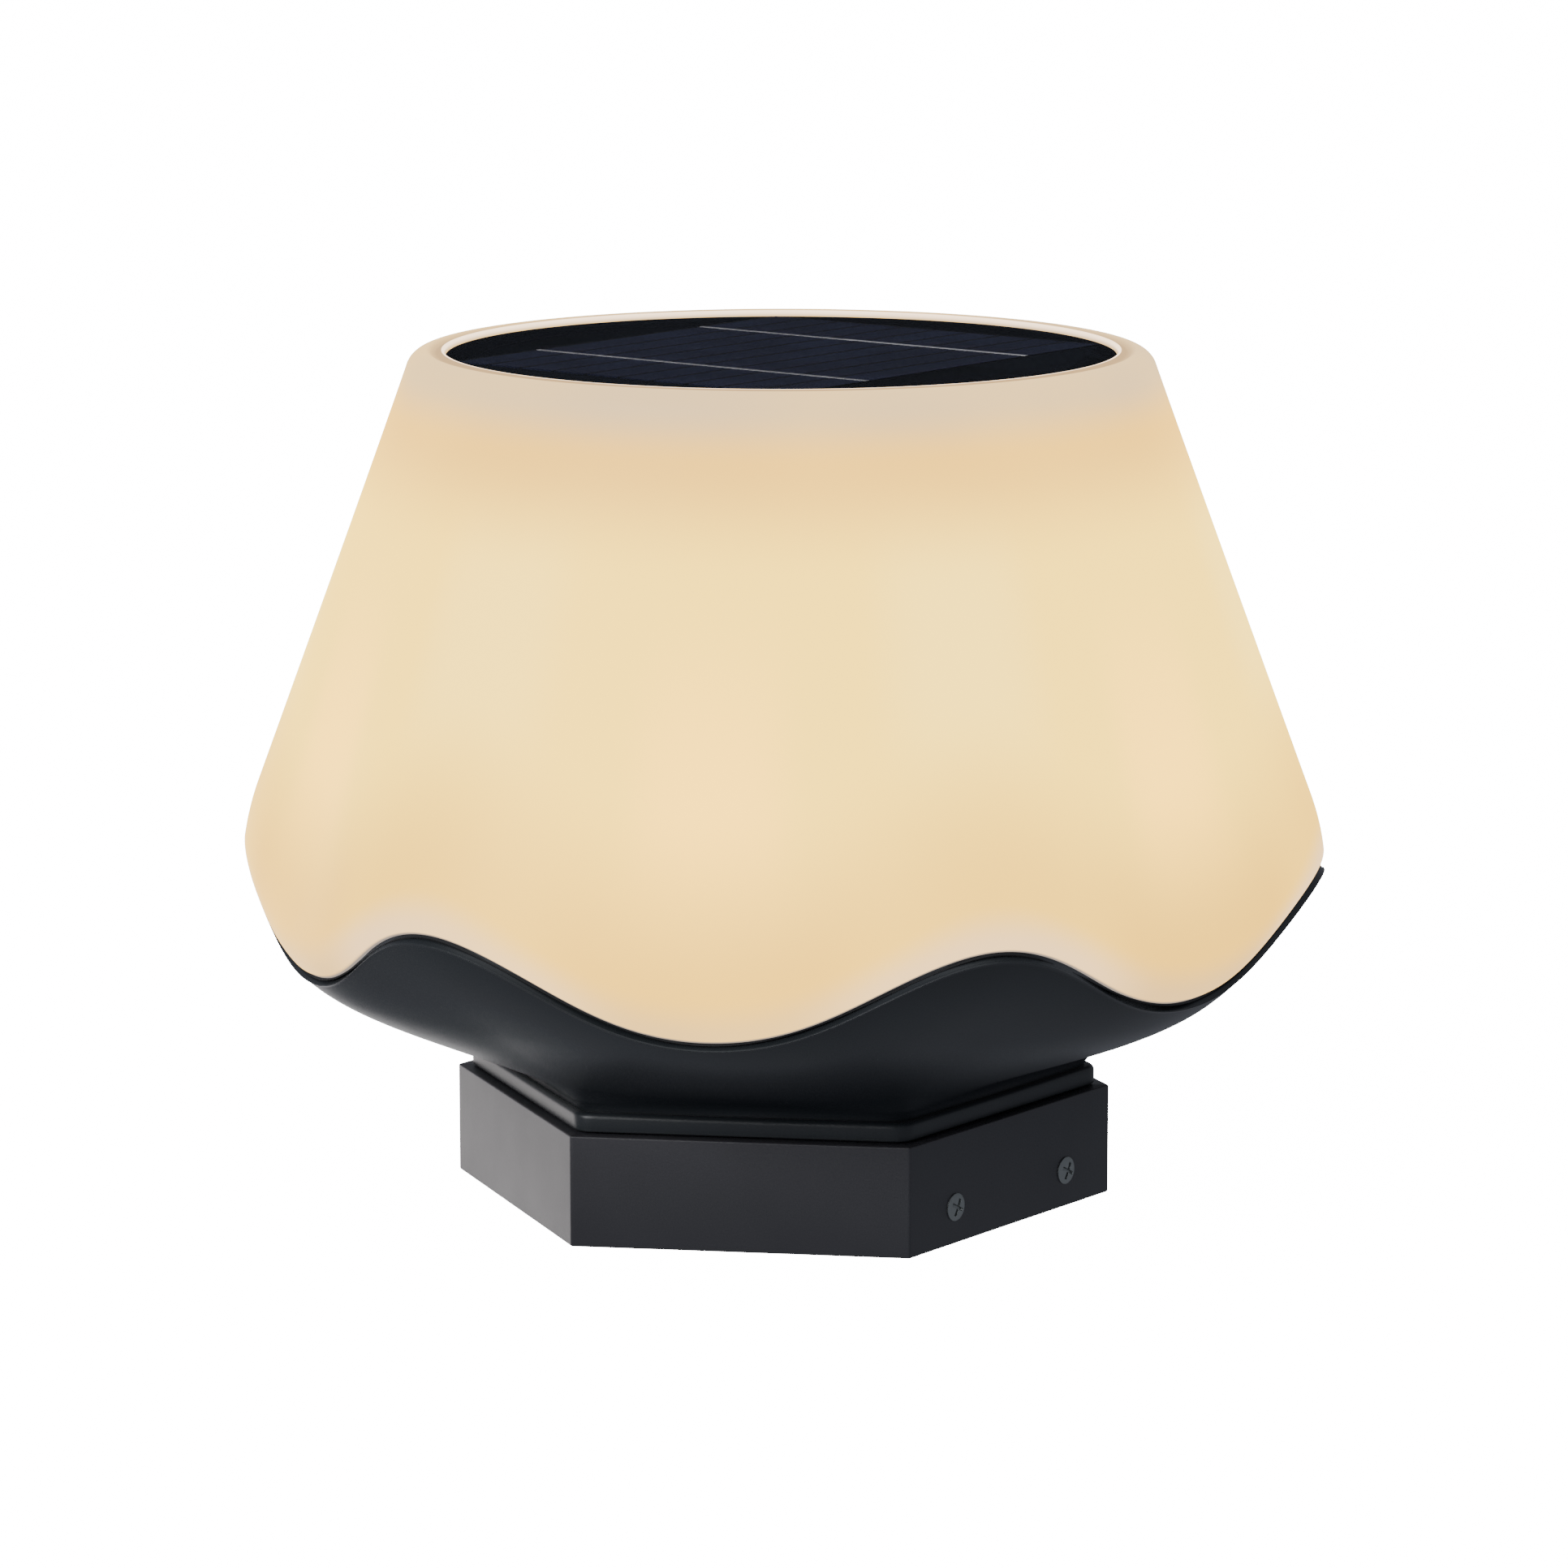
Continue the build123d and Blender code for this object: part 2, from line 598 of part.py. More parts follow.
def make_battery_cells():
    """Round cells lying side by side."""
    cell = Rot(0, 90, 0) * Cylinder(CELL_D / 2, CELL_L)
    return [Pos(0, y, cell_z) * cell for y in cell_rows]


def make_battery_contacts():
    """Contact plates between the cells' ends and the holder."""
    plate = Box(CONTACT_T, CONTACT_W, CONTACT_W)
    place = (CELL_L + CONTACT_T) / 2
    return [Pos(side * place, y, cell_z) * plate for side in (-1, 1) for y in cell_rows]


def make_battery_strap():
    """Band round the holder that keeps the cells in."""
    low = cell_z - CELL_D / 2 - CELL_CLEARANCE / 2 - STRAP_T
    outside = block((STRAP_W, holder_outside[1] + 2 * STRAP_T, tray_z - low), low)
    return outside - block((STRAP_W, holder_outside[1], tray_z - low - STRAP_T), low + STRAP_T)


def make_battery_lead():
    """Lead from the holder's side to the control board."""
    x = STRAP_W / 2 + 4 * LEAD_R
    side = -holder_outside[1] / 2
    low = tray_z - HOLDER_DEPTH + 2 * LEAD_R
    return lead([(x, side, low), (x, BOARD_AT[1] + 2 * LEAD_R, low), (x, BOARD_AT[1] + 2 * LEAD_R, board_z)],
                2 * LEAD_R)


# Control board
def make_control_board():
    """Circuit board hung under the tray."""
    body = block(BOARD_SIZE, board_z, BOARD_AT)
    return drilled(body, SMALL_SCREW[0] + HOLE_CLEARANCE, board_holes, board_z, BOARD_SIZE[2])


def make_board_components():
    """Coil, capacitor, chip and the panel lead's connector on the board's underside."""
    coil = disc(COIL[0], board_z - COIL[1], COIL[1], COIL_AT)
    capacitor = disc(CAPACITOR[0], board_z - CAPACITOR[1], CAPACITOR[1], CAPACITOR_AT)
    chip = block(CHIP, board_z - CHIP[2], CHIP_AT)
    edge_y = BOARD_AT[1] - BOARD_SIZE[1] / 2 + CONNECTOR[1] / 2
    connector = block(CONNECTOR, board_z - CONNECTOR[2], (PANEL_LEAD_AT[0], edge_y))
    return [coil, capacitor, chip, connector]


def make_board_standoffs():
    """Four spacers between board and tray."""
    return [disc(STANDOFF_R, board_top, STANDOFF_H, point) - disc(SMALL_SCREW[0], board_top, STANDOFF_H, point)
            for point in board_holes]


# Switch
switch_seat = foot_z - SWITCH_WASHER_T
switch_face = switch_seat - SWITCH_FLANGE_T
barrel_top = foot_z + SWITCH_BARREL_H


def make_switch_body():
    """Threaded barrel with a flange below, a stepped chamber for the button and two terminals."""
    at = (0, SWITCH_Y)
    body = disc(SWITCH_FLANGE_R, switch_face, SWITCH_FLANGE_T, at)
    body += disc(SWITCH_BARREL_R, switch_seat, barrel_top - switch_seat, at)
    chamber_h = barrel_top - SWITCH_ROOF_T - switch_seat
    body -= disc(BUTTON_R + BUTTON_CLEARANCE, switch_face, SWITCH_FLANGE_T, at)
    body -= disc(BUTTON_COLLAR_R + BUTTON_CLEARANCE, switch_seat, chamber_h, at)
    for x in (-SWITCH_BARREL_R / 2, SWITCH_BARREL_R / 2):
        body += block(SWITCH_TERMINAL, barrel_top, (x, SWITCH_Y))
    return body


def make_switch_button():
    """Round button kept in by a collar."""
    at = (0, SWITCH_Y)
    low = switch_face - BUTTON_PROUD
    body = disc(BUTTON_R, low, switch_seat + BUTTON_CLEARANCE - low, at)
    body = fillet(body.edges().sort_by(Axis.Z)[:1], BUTTON_EDGE_R)
    return body + disc(BUTTON_COLLAR_R, switch_seat + BUTTON_CLEARANCE, BUTTON_COLLAR_T, at)


def make_switch_nut():
    """Hexagon nut on the cup floor."""
    nut = extrude(RegularPolygon(SWITCH_NUT_AF / 2, 6, major_radius=False), SWITCH_NUT_T)
    hole = Cylinder(SWITCH_BARREL_R + THREAD_CLEARANCE, 3 * SWITCH_NUT_T)
    return Pos(0, SWITCH_Y, floor_top) * (nut - hole)


def make_switch_washer():
    """Rubber washer under the floor."""
    at = (0, SWITCH_Y)
    ring_body = disc(SWITCH_FLANGE_R, switch_seat, SWITCH_WASHER_T, at)
    return ring_body - disc(SWITCH_BARREL_R + THREAD_CLEARANCE, switch_seat, SWITCH_WASHER_T, at)


def make_switch_lead():
    """Lead from a terminal, round the battery to the control board."""
    x = SWITCH_BARREL_R / 2
    top = barrel_top + SWITCH_TERMINAL[2]
    turn = top + 6 * LEAD_R
    dip = turn - 2 * LEAD_R
    away = holder_outside[0] / 2 + 4 * LEAD_R
    plug = (BOARD_AT[0] + BOARD_SIZE[0] / 2 - 4 * LEAD_R, BOARD_AT[1] + 2 * LEAD_R)
    return lead([(x, SWITCH_Y, top), (x, SWITCH_Y, turn), (away, SWITCH_Y, turn), (away, plug[1], dip),
                 (plug[0], plug[1], dip), (*plug, board_z)], 2 * LEAD_R)


pieces = {
    "base_skirt": make_base_skirt(),
    "mounting_bracket": make_mounting_bracket(),
    "side_screws": make_side_screws(),
    "skirt_screws": screws_at(SKIRT_SCREW, SKIRT_SCREW_L, foot_screw_points, SKIRT_H - DECK_T, False),
    "foot_gasket": make_foot_gasket(),
    "petal_cup": make_petal_cup(),
    "rim_seal": make_rim_seal(),
    "shade": make_shade(),
    "panel_gasket": make_panel_gasket(),
    "panel_backboard": make_panel_backboard(),
    "solar_cells": make_solar_cells(),
    "busbar_ribbons": make_busbar_ribbons(),
    "panel_cover": make_panel_cover(),
    "junction_box": make_junction_box(),
    "panel_lead": make_panel_lead(),
    "lead_grommet": make_lead_grommet(),
    "inner_tray": make_inner_tray(),
    "shade_screws": screws_at(LUG_SCREW, LUG_SCREW_L, lug_points, tray_z, False),
    "tray_screws": screws_at(TRAY_SCREW, TRAY_SCREW_L, post_points, foot_z, False),
    "led_board": make_led_board(),
    "led_chips": make_led_chips(),
    "led_board_screws": screws_at(SMALL_SCREW, LED_SCREW_L, led_screw_points, tray_top + LED_BOARD_T, True),
    "led_leads": make_led_leads(),
    "battery_holder": make_battery_holder(),
    "battery_cells": make_battery_cells(),
    "battery_contacts": make_battery_contacts(),
    "battery_strap": make_battery_strap(),
    "holder_screws": screws_at(SMALL_SCREW, HOLDER_SCREW_L, holder_screw_points, tray_z - HOLDER_WALL, False),
    "battery_lead": make_battery_lead(),
    "control_board": make_control_board(),
    "board_components": make_board_components(),
    "board_standoffs": make_board_standoffs(),
    "board_screws": screws_at(SMALL_SCREW, BOARD_SCREW_L, board_holes, board_z, False),
    "switch_body": make_switch_body(),
    "switch_button": make_switch_button(),
    "switch_nut": make_switch_nut(),
    "switch_washer": make_switch_washer(),
    "switch_lead": make_switch_lead(),
}

os.makedirs("parts", exist_ok=True)
for name, piece in pieces.items():
    shape = Compound(children=piece) if isinstance(piece, list) else piece
    export_step(shape, f"parts/{name}.step")
    print(name, round(shape.volume, 1))
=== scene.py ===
from math import radians

import bpy
import numpy as np
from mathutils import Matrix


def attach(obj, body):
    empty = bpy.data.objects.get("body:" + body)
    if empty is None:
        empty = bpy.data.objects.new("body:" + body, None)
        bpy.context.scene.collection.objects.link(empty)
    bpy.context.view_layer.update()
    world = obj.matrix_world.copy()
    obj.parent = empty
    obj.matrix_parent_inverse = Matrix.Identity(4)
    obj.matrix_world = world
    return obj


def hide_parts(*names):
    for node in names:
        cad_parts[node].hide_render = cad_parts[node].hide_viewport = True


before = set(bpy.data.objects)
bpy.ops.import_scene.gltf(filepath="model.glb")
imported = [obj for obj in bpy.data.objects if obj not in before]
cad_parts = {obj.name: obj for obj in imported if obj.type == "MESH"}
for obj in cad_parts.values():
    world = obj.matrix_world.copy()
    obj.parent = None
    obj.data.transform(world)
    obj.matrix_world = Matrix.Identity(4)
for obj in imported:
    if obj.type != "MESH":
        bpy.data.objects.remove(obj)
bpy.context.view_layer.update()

# Outdoor post light: a glowing petal shade in a wavy black cup on a hexagonal skirt.
# Sizes are in millimetres and become metres in place(). Angles are in radians from +X, where a petal has
# its middle, unless a name or note says degrees. A spine is the ridge between two petals.
MM = 0.001

# Grids
PETALS = 6
SECTOR = np.pi / 3
COLUMNS = 480
OUTSIDE_ROWS = 130
INSIDE_ROWS = 30
ROW_GATHER = 1.5
QUARTER_TURN = np.linspace(0, np.pi / 2, 5)

# Skirt
SKIRT_APOTHEM = 77.942
SKIRT_H = 30.0
SKIRT_EDGE = 0.5
SKIRT_WALL = 3.0
DECK_T = 3.0
DECK_OPENING_R = 60.0
FACE_DEGREES = np.linspace(-28.8, 28.8, 13)
CORNER_DEGREES = 30 + np.linspace(-0.9, 0.9, 9)
SKIRT_CREASE_DEGREES = 50

# Foot and neck of the cup
FOOT_Z = 31.0
FOOT_APOTHEM = 75.2
FOOT_FILLET = 6.0
FOOT_LIP_Z = 30.5
FOOT_LIP_W = 0.85
FOOT_LIP_EDGE = 0.35
BAND_TOP_Z = 35.5
BAND_EDGE = 1.5
FLOOR_Z = 34.0
SWITCH_HOLE_R = 6.15
SWITCH_Y = 46.0
NECK_Z = 36.5
NECK_APOTHEM = 73.242
NECK_SOFTNESS = 40.0
NECK_ROLL = 9.0
NECK_SLOPE = 2.5
NECK_LIFT = 2.0
PETAL_LIFT = 0.6
LIFT_FULL_Z = 42.0
LIFT_END_Z = 64.0

# Bowl and wavy rim of the cup
BOWL_TOP_Z = 96.0
PETAL_BOWL_R = 147.9
SPINE_BOWL_R = 149.4
PETAL_SWEEP = 2.42
SPINE_SWEEP = 1.43
HEXAGON_FADE = 3.0
CUP_WALL = 3.5
CUP_WALL_RISE = 2.0
EDGE_PETAL_Z = 68.4
EDGE_QUARTER_Z = 77.75
EDGE_VALLEY_Z = 92.3
RIM_SET_BACK = 1.8
RIM_INSET = 2.8
RIM_TILT = 0.7
RIM_ROUND = 0.7
RIM_PASSES = 3

# Shade
TOP_Z = 230.0
CREST_R = 94.83
CREST_DROP = 0.05
SHOULDER_Z = 225.0
SHOULDER_R = 100.8
SHOULDER_ROUND = 6.0
SHOULDER_BEND = np.linspace(0, radians(72), 14)
PETAL_TAPER = 0.28
SPINE_TAPER = 0.375
PETAL_ROLL = 9.0
SPINE_ROLL = 4.0
SHADE_WALL = 3.0
SHADE_LIFT = 1.0
EDGE_ROUND = 0.9
EDGE_FALL = 0.9
EDGE_BEND = np.linspace(0, np.pi / 2, 6)[1:]

# Seat, lip and dip round the panel, the lip as steps out from the pocket and up from the top
CEILING_Z = 222.7
LEDGE_Z = 226.1
LEDGE_R = 80.0
POCKET_R = 90.4
PANEL_LIP = ((0.0, -0.4), (0.15, -0.1), (0.5, 0.0), (0.9, -0.15))
DIP_DEPTH = 0.75
DIP_SHARES = np.linspace(0, 1, 9)[1:-1]

# Side screws, each place as a side of the skirt, a distance along it and the turn of the cross in degrees
SCREW_COLUMNS = 144
SCREW_ROWS = 44
SCREW_R = 3.7
SCREW_TIP = 0.02
SCREW_CROWN = 0.9
SCREW_BRIM = 0.35
SCREW_RECESS = 0.7
CROSS_ARM = 0.42
CROSS_REACH = 0.66
CROSS_STEEPNESS = 3
SCREW_Z = 10.0
SCREW_PLACES = ((1, -25.0, -27), (1, 25.0, -27), (-1, -25.0, 40), (-1, 25.0, 65))

# Paper sweep
SWEEP_COLUMNS = 96
SWEEP_FLOOR_R = 2000.0
SWEEP_BEND_R = 3000.0
SWEEP_BEND = np.linspace(0, np.pi / 2, 16)
SWEEP_TOP_Z = 9000.0

# Finishes, with pitches in metres
GLOW = 5.0
FINGER_PITCH = 0.0016
STRIP_PITCH = 0.0112
TRACK_PITCH = 0.004

# Camera, with its place in metres
CAMERA_AT = (1.02448, -1.30731, 0.4241)
CAMERA_TURN_DEGREES = 38.06
CAMERA_DIP_DEGREES = 10.68
SENSOR_W = 36
LENS = 142.8


# Section shapes, on whole arrays of angles and heights
def lobe(angle):
    """1 at the middle of a petal and 0 at a spine: half of one plus the cosine of six times the angle."""
    return (1 + np.cos(PETALS * angle)) / 2


def soft_hexagon(angle):
    """Hexagon with soft corners: its apothem over a power mean of the cosines to its six face normals."""
    normals = angle[..., None] - np.arange(PETALS) * SECTOR
    shares = np.clip(np.cos(normals), 0, 1) ** NECK_SOFTNESS
    return NECK_APOTHEM * shares.sum(axis=-1) ** (-1 / NECK_SOFTNESS)


def rounded_hexagon(angle, apothem, fillet):
    """Hexagon with round corners: a flat out to where its corner arc starts, then the far side of that
    arc, by the law of cosines from the arc's centre."""
    off_face = np.abs((angle + SECTOR / 2) % SECTOR - SECTOR / 2)
    off_corner = SECTOR / 2 - off_face
    centre = (apothem - fillet) / np.cos(SECTOR / 2)
    reach = np.sqrt(np.clip(fillet ** 2 - (centre * np.sin(off_corner)) ** 2, 0, None))
    arc = centre * np.cos(off_corner) + reach
    on_flat = apothem * np.tan(off_face) <= (apothem - fillet) * np.tan(SECTOR / 2)
    return np.where(on_flat, apothem / np.cos(off_face), arc)


def crossing(first, second, roll):
    """What rounds a crossing of two radii: a quarter of the roll, times the square of the share of the
    roll by which they overlap."""
    overlap = np.clip(roll - np.abs(first - second), 0, None) / roll
    return overlap ** 2 * roll / 4


def bowl_radius(angle, z):
    """Cup's outside: a petal curve and a spine curve, each a power of the depth, blended by the lobe and,
    near the neck, by the soft hexagon."""
    depth = np.clip((BOWL_TOP_Z - z) / (BOWL_TOP_Z - NECK_Z), 0, 1)
    corner = soft_hexagon(np.array(SECTOR / 2))
    petal = PETAL_BOWL_R - (PETAL_BOWL_R - NECK_APOTHEM) * depth ** PETAL_SWEEP
    spine = SPINE_BOWL_R - (SPINE_BOWL_R - corner) * depth ** SPINE_SWEEP
    hexagon = (soft_hexagon(angle) - corner) / (NECK_APOTHEM - corner)
    share = lobe(angle) + (hexagon - lobe(angle)) * depth ** HEXAGON_FADE
    return spine + (petal - spine) * share


def near_neck(z):
    """1 at the neck, and a smooth step down to 0 some way up the bowl."""
    fade = np.clip((LIFT_END_Z - z) / (LIFT_END_Z - LIFT_FULL_Z), 0, 1)
    return fade ** 2 * (3 - 2 * fade)


def neck_radius(angle, z):
    """Cup's outside with its neck: the larger of the upright neck and the bowl, rounded where they cross.
    The bowl is lifted near the neck, most under the petals, and falls away in a slope below it."""
    lowered = z - (NECK_LIFT + PETAL_LIFT * lobe(angle)) * near_neck(z)
    neck = soft_hexagon(angle)
    bowl = bowl_radius(angle, lowered) - NECK_SLOPE * np.clip(NECK_Z - lowered, 0, None)
    return np.maximum(bowl, neck) + crossing(bowl, neck, NECK_ROLL)


def shade_radius(angle, z):
    """Shade's outside: the smaller of a cone and the inset bowl, rounded where they cross."""
    taper = SPINE_TAPER + (PETAL_TAPER - SPINE_TAPER) * lobe(angle)
    cone = SHOULDER_R + (SHOULDER_Z - z) * taper
    bowl = bowl_radius(angle, z) - RIM_SET_BACK
    roll = SPINE_ROLL + (PETAL_ROLL - SPINE_ROLL) * lobe(angle)
    return np.minimum(cone, bowl) - crossing(cone, bowl, roll)


def edge_height(angle):
    """Wavy rim: a cosine and its double through the petal, quarter and valley heights."""
    middle = (EDGE_PETAL_Z + EDGE_VALLEY_Z) / 2
    second = (middle - EDGE_QUARTER_Z) / 2
    first = (EDGE_PETAL_Z - EDGE_VALLEY_Z) / 2
    return middle - second + first * np.cos(PETALS * angle) + second * np.cos(2 * PETALS * angle)


# Rings, each a radius and a height, alone or one per angle
def around(columns):
    """Angles of evenly spaced columns, once round the axis."""
    return np.linspace(0, 2 * np.pi, columns, endpoint=False)


def lower_edge(radius, z, size):
    """Rings of a quarter arc from an underside out and up to a side."""
    return [(radius - size * (1 - np.sin(t)), z + size * (1 - np.cos(t))) for t in QUARTER_TURN]


def upper_edge(radius, z, size):
    """Rings of a quarter arc from a side up and in to a top."""
    return [(radius - size * (1 - np.cos(t)), z - size * (1 - np.sin(t))) for t in QUARTER_TURN]


def turned(angle, rings):
    """Points of a surface round the axis: each ring's radius times the cosine and sine, and its height."""
    radius = np.array([np.broadcast_to(r, angle.shape) for r, z in rings])
    height = np.array([np.broadcast_to(z, angle.shape) for r, z in rings])
    return np.stack([radius * np.cos(angle), radius * np.sin(angle), height], axis=-1)


# Meshes
def quads(rows, columns, loop):
    """Corner numbers of a grid that closes across its columns, and across its rows too if it is a loop."""
    row = np.arange(rows if loop else rows - 1)[:, None]
    column = np.arange(columns)[None, :]
    beside = (column + 1) % columns
    here = row * columns
    after = (row + 1) % rows * columns
    corners = [here + column, here + beside, after + beside, after + column]
    return np.stack(corners, axis=-1).reshape(-1, 4)


def fans(rows, columns):
    """Corner numbers of two fans that close the first and last ring on two added pole points."""
    column = np.arange(columns)
    beside = (column + 1) % columns
    last = (rows - 1) * columns
    pole = np.full(columns, rows * columns)
    first_fan = np.stack([beside, column, pole], axis=-1)
    last_fan = np.stack([last + column, last + beside, pole + 1], axis=-1)
    return np.concatenate([first_fan, last_fan])


def place(name, grids, loop, poles=None, crease=40):
    """Object from closed grids of points in millimetres, its faces turned outwards by the sign of the
    enclosed volume. Edges bent by more than the crease, in degrees, are sharp."""
    points, faces = [], []
    start = 0
    for number, grid in enumerate(grids):
        rows, columns = grid.shape[:2]
        flat = grid.reshape(-1, 3)
        squares = quads(rows, columns, loop)
        caps = np.zeros((0, 3), dtype=int)
        if poles is not None:
            flat = np.concatenate([flat, poles[number]])
            caps = fans(rows, columns)
        triangles = np.concatenate([squares[:, [0, 1, 2]], squares[:, [0, 2, 3]], caps])
        a, b, c = (flat[triangles[:, corner]] for corner in range(3))
        inside_out = np.sum(a * np.cross(b, c)) < 0
        for group in (squares, caps):
            faces += ((group[:, ::-1] if inside_out else group) + start).tolist()
        points.append(flat)
        start += len(flat)
    mesh = bpy.data.meshes.new(name)
    mesh.from_pydata((np.concatenate(points) * MM).tolist(), [], faces)
    mesh.shade_smooth()
    mesh.set_sharp_from_angle(angle=radians(crease))
    piece = bpy.data.objects.new(name, mesh)
    bpy.context.scene.collection.objects.link(piece)
    return piece


def keep_values(piece, name, values):
    """Attribute with one value for each point of a piece."""
    attribute = piece.data.attributes.new(name, "FLOAT", "POINT")
    attribute.data.foreach_set("value", values.ravel())


def dress(piece, body, node, finish):
    """Piece that stands for a node, moves with its body and wears a finish."""
    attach(piece, body)
    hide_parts(node)
    piece.data.materials.append(finish)


# Pieces
def make_shade():
    """Shade: rings for the panel's seat and lip, a dip by the square of a sine, an arc for the shoulder,
    then the outside down to the wavy edge with rows drawn together towards it, and back up the inside.
    Its points keep their height above the edge and the cosine of six times their angle for the finish."""
    angle = around(COLUMNS)
    edge = edge_height(angle) + SHADE_LIFT
    edge_r = shade_radius(angle, edge)
    seat = [(LEDGE_R, CEILING_Z), (LEDGE_R, LEDGE_Z), (POCKET_R, LEDGE_Z)]
    lip = [(POCKET_R + out, TOP_Z + up) for out, up in PANEL_LIP]
    lip_r, lip_z = lip[-1]
    dip = [(lip_r + (CREST_R - lip_r) * t, lip_z - DIP_DEPTH * np.sin(np.pi * t) ** 2)
           for t in DIP_SHARES]
    crest_z = TOP_Z - CREST_DROP
    shoulder = [(CREST_R + SHOULDER_ROUND * np.sin(t), crest_z - SHOULDER_ROUND * (1 - np.cos(t)))
                for t in SHOULDER_BEND]
    fall = 1 - (1 - np.linspace(0, 1, OUTSIDE_ROWS)) ** ROW_GATHER
    heights = SHOULDER_Z + (edge + EDGE_ROUND - SHOULDER_Z) * fall[:, None]
    outside = [(shade_radius(angle, z), z) for z in heights]
    turn_in = [(edge_r - EDGE_ROUND * (1 - np.cos(t)), edge + EDGE_ROUND * (1 - np.sin(t) * EDGE_FALL))
               for t in EDGE_BEND]
    inner_low = edge + SHADE_WALL * RIM_TILT
    heights = inner_low + (CEILING_Z - inner_low) * np.linspace(0, 1, INSIDE_ROWS)[:, None]
    inside = [(shade_radius(angle, z) - SHADE_WALL, z) for z in heights]
    points = turned(angle, seat + lip + dip + shoulder + outside + turn_in + inside)
    piece = place("petal_shade", [points], loop=True)
    keep_values(piece, "rim_gap", (points[..., 2] - edge) * MM)
    keep_values(piece, "petal", np.broadcast_to(np.cos(PETALS * angle), points.shape[:2]))
    return piece


def make_cup():
    """Cup: flat underside, upright hexagon band, bowl rows up to the wavy rim, over it and down the inside.
    The rim lies on a slope out from the shade's edge, and a few passes find where that meets the bowl.
    The first and last rings are the two ends of the switch's hole in the floor, off the axis."""
    angle = around(COLUMNS)
    foot = rounded_hexagon(angle, FOOT_APOTHEM, FOOT_FILLET)
    edge = edge_height(angle)
    edge_r = shade_radius(angle, edge)
    rim = edge - RIM_TILT * RIM_SET_BACK
    for _ in range(RIM_PASSES):
        rim = edge - RIM_TILT * (bowl_radius(angle, rim) - edge_r)
    under = [(SWITCH_HOLE_R, FOOT_Z), (foot - FOOT_LIP_W, FOOT_Z), (foot - FOOT_LIP_W, FOOT_LIP_Z)]
    band = lower_edge(foot, FOOT_LIP_Z, FOOT_LIP_EDGE) + upper_edge(foot, BAND_TOP_Z, BAND_EDGE)
    climb = np.linspace(0, 1, OUTSIDE_ROWS) ** ROW_GATHER
    heights = BAND_TOP_Z + (rim - RIM_ROUND - BAND_TOP_Z) * climb[:, None]
    bowl = [(neck_radius(angle, z), z) for z in heights]
    over = upper_edge(bowl_radius(angle, rim), rim, RIM_ROUND)[1:]
    inner_top = edge + RIM_TILT * RIM_INSET
    heights = inner_top + (FLOOR_Z - inner_top) * np.linspace(0, 1, INSIDE_ROWS)[:, None]
    hollow = PETAL_LIFT * lobe(angle)
    lowered = [np.maximum(z - CUP_WALL_RISE - hollow * near_neck(z), NECK_Z) for z in heights]
    inside = [(bowl_radius(angle, low) - CUP_WALL, z) for low, z in zip(lowered, heights)]
    points = turned(angle, under + band + bowl + over + inside + [(SWITCH_HOLE_R, FLOOR_Z)])
    points[[0, -1], :, 1] += SWITCH_Y
    return place("sepal_cup", [points], loop=True)


def make_skirt():
    """Skirt: a wall and deck profile carried round a hexagon, its columns close together at the corners."""
    sector = np.concatenate([FACE_DEGREES, CORNER_DEGREES])
    turns = [sector + side * 360 / PETALS for side in range(PETALS)]
    angle = np.radians(np.sort(np.concatenate(turns)))
    outer = rounded_hexagon(angle, SKIRT_APOTHEM, SKIRT_EDGE)
    inner = rounded_hexagon(angle, SKIRT_APOTHEM - SKIRT_WALL, SKIRT_EDGE)
    wall = lower_edge(outer, 0.0, SKIRT_EDGE) + upper_edge(outer, SKIRT_H, SKIRT_EDGE)
    deck = [(DECK_OPENING_R, SKIRT_H), (DECK_OPENING_R, SKIRT_H - DECK_T)]
    hollow = [(inner, SKIRT_H - DECK_T), (inner, 0.0)]
    points = turned(angle, wall + deck + hollow)
    return place("hexagon_skirt", [points], loop=True, crease=SKIRT_CREASE_DEGREES)


def make_side_screws():
    """Screw heads: a crown that falls with the fourth power of the radius, less a cross-shaped recess. The
    cross is the larger of two arms, each one less a fourth power of the distance from its middle, and it
    ends at its reach by an eighth power of the radius."""
    angle = around(SCREW_COLUMNS)
    share = np.linspace(SCREW_TIP, 1, SCREW_ROWS)[:, None]
    across = SCREW_R * share * np.cos(angle)
    along = SCREW_R * share * np.sin(angle)
    arms = np.maximum(1 - (across / CROSS_ARM) ** 4, 1 - (along / CROSS_ARM) ** 4)
    reach = 1 - (share / CROSS_REACH) ** 8
    recess = SCREW_RECESS * np.clip(CROSS_STEEPNESS * np.minimum(arms, reach), 0, 1)
    crown = SCREW_CROWN * (SCREW_BRIM + (1 - SCREW_BRIM) * (1 - share ** 4)) - recess
    crown = np.concatenate([crown, np.zeros((1, SCREW_COLUMNS))])
    across = np.concatenate([across, across[-1:]])
    along = np.concatenate([along, along[-1:]])
    grids, poles = [], []
    for side, y, degrees in SCREW_PLACES:
        cosine, sine = np.cos(radians(degrees)), np.sin(radians(degrees))
        sideways = across * cosine - along * sine + y
        upward = across * sine + along * cosine + SCREW_Z
        grids.append(np.stack([side * (SKIRT_APOTHEM + crown), sideways, upward], axis=-1))
        tip = side * (SKIRT_APOTHEM + crown[0, 0])
        poles.append(np.array([[tip, y, SCREW_Z], [side * SKIRT_APOTHEM, y, SCREW_Z]]))
    return place("side_screw_heads", grids, loop=False, poles=poles)


